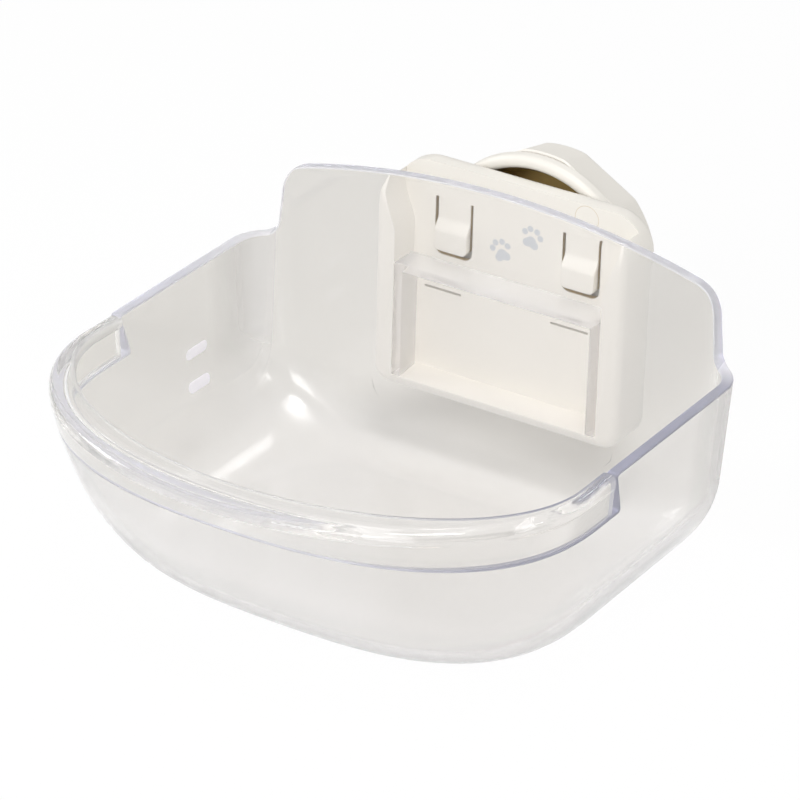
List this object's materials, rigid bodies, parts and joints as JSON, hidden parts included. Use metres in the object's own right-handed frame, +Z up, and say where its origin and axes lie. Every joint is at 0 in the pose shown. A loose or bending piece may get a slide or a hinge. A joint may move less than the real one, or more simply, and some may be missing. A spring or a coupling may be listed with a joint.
{
  "type": "cage-mounted pet bowl",
  "caption": "Clear fan-shaped feeding bowl with a lip guard that slides down onto a cream bracket, held by sprung latches and clamped to cage wires by a screw knob.",
  "frame": {"origin": "on the flat underside of the bowl, midway between its sides", "axes": "+X to the right of someone facing the open front, +Y back towards the knob, +Z up"},
  "size_m": [0.1226, 0.1372, 0.0714],
  "materials": {
    "bowl": "clear polished moulding",
    "lip_guard": "clear polished moulding",
    "bracket_front": "satin cream moulding",
    "bracket_back": "satin cream moulding",
    "latch_left": "satin cream moulding",
    "latch_right": "satin cream moulding",
    "clamp_bolt": "threaded cream moulding",
    "pressure_ring": "satin cream moulding",
    "knob": "satin cream moulding"
  },
  "bodies": {
    "bracket": {"bracket_front": "bracket_front", "bracket_back": "bracket_back", "clamp_bolt": "clamp_bolt"},
    "bowl": {"bowl": "bowl", "lip_guard": "lip_guard"},
    "latch_left": {"latch_left": "latch_left"},
    "latch_right": {"latch_right": "latch_right"},
    "pressure_ring": {"pressure_ring": "pressure_ring"},
    "knob": {"knob": "knob"}
  },
  "joints": [
    {"name": "bowl_lift", "type": "slide", "parent": "bracket", "child": "bowl", "axis": [0, 0, 1], "range_m": [0, 0.078]},
    {"name": "latch_left_flex", "type": "hinge", "parent": "bracket", "child": "latch_left", "pos_m": [-0.0157, 0.05155, 0.0592], "axis": [1, 0, 0], "range_deg": [0, 9], "stiffness_Nm_per_rad": 0.3},
    {"name": "latch_right_flex", "type": "hinge", "parent": "bracket", "child": "latch_right", "pos_m": [0.0157, 0.05155, 0.0592], "axis": [1, 0, 0], "range_deg": [0, 9], "stiffness_Nm_per_rad": 0.3},
    {"name": "clamp_travel", "type": "slide", "parent": "bracket", "child": "pressure_ring", "axis": [0, 1, 0], "range_m": [0, 0.006]},
    {"name": "knob_turn", "type": "hinge", "parent": "pressure_ring", "child": "knob", "pos_m": [0, 0.0594, 0.0462], "axis": [0, 1, 0], "range_deg": [0, 540]}
  ],
  "couplings": [
    {"joint": "knob_turn", "follows": "clamp_travel", "rad_per_m": 1570}
  ]
}
